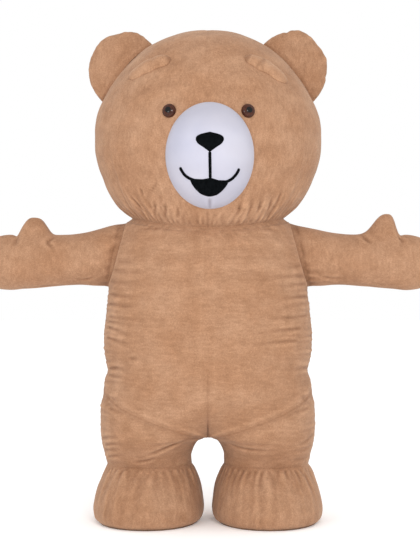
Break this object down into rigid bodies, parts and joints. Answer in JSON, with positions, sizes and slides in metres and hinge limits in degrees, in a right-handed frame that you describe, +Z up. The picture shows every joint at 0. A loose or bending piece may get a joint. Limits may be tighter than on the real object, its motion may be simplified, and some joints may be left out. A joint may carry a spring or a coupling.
{
  "type": "inflatable bear mascot costume",
  "caption": "Walking bear suit of short tan plush, filled out and standing with its arms held out, with a white muzzle, round ears and a zip at the back.",
  "frame": {"origin": "on the floor, under the middle of the whole suit's box", "axes": "+Z up; the bear faces -Y; +X is the wearer's left, on the right-hand side of the picture"},
  "size_m": [2.132, 1.0409, 2.289],
  "materials": {
    "plush": "short brushed pile, mottled tan",
    "white_plush": "smooth short white pile with a soft sheen",
    "black_felt": "flat black felt",
    "eye": "glossy brown toy eye with a black pupil",
    "sole_cloth": "hard-wearing brown sole cloth",
    "zip_tape": "woven tan tape",
    "zip_plastic": "moulded tan coil",
    "zip_metal": "satin cast metal"
  },
  "bodies": {
    "suit": {"arm_back_left": "plush", "arm_back_right": "plush", "arm_front_left": "plush", "arm_front_right": "plush", "brow_left": "plush", "brow_right": "plush", "ear_back_left": "plush", "ear_back_right": "plush", "ear_front_left": "plush", "ear_front_right": "plush", "eye_left": "eye", "eye_right": "eye", "foot_left": "plush", "foot_right": "plush", "head_back_left": "plush", "head_back_right": "plush", "head_front_left": "plush", "head_front_right": "plush", "leg_back_left": "plush", "leg_back_right": "plush", "leg_front_left": "plush", "leg_front_right": "plush", "mouth": "black_felt", "muzzle": "white_plush", "nose": "black_felt", "nose_line": "black_felt", "sole_left": "sole_cloth", "sole_right": "sole_cloth", "torso_back_left": "plush", "torso_back_right": "plush", "torso_front_left": "plush", "torso_front_right": "plush", "zip_chain": "zip_plastic", "zip_slider": "zip_metal", "zip_tape_left": "zip_tape", "zip_tape_right": "zip_tape"},
    "pull": {"zip_pull": "zip_metal"}
  },
  "joints": [
    {"name": "zip_pull_swing", "type": "hinge", "parent": "suit", "child": "pull", "pos_m": [0, 0.38299, 1.37362], "axis": [1, 0, 0], "range_deg": [0, 150]}
  ]
}
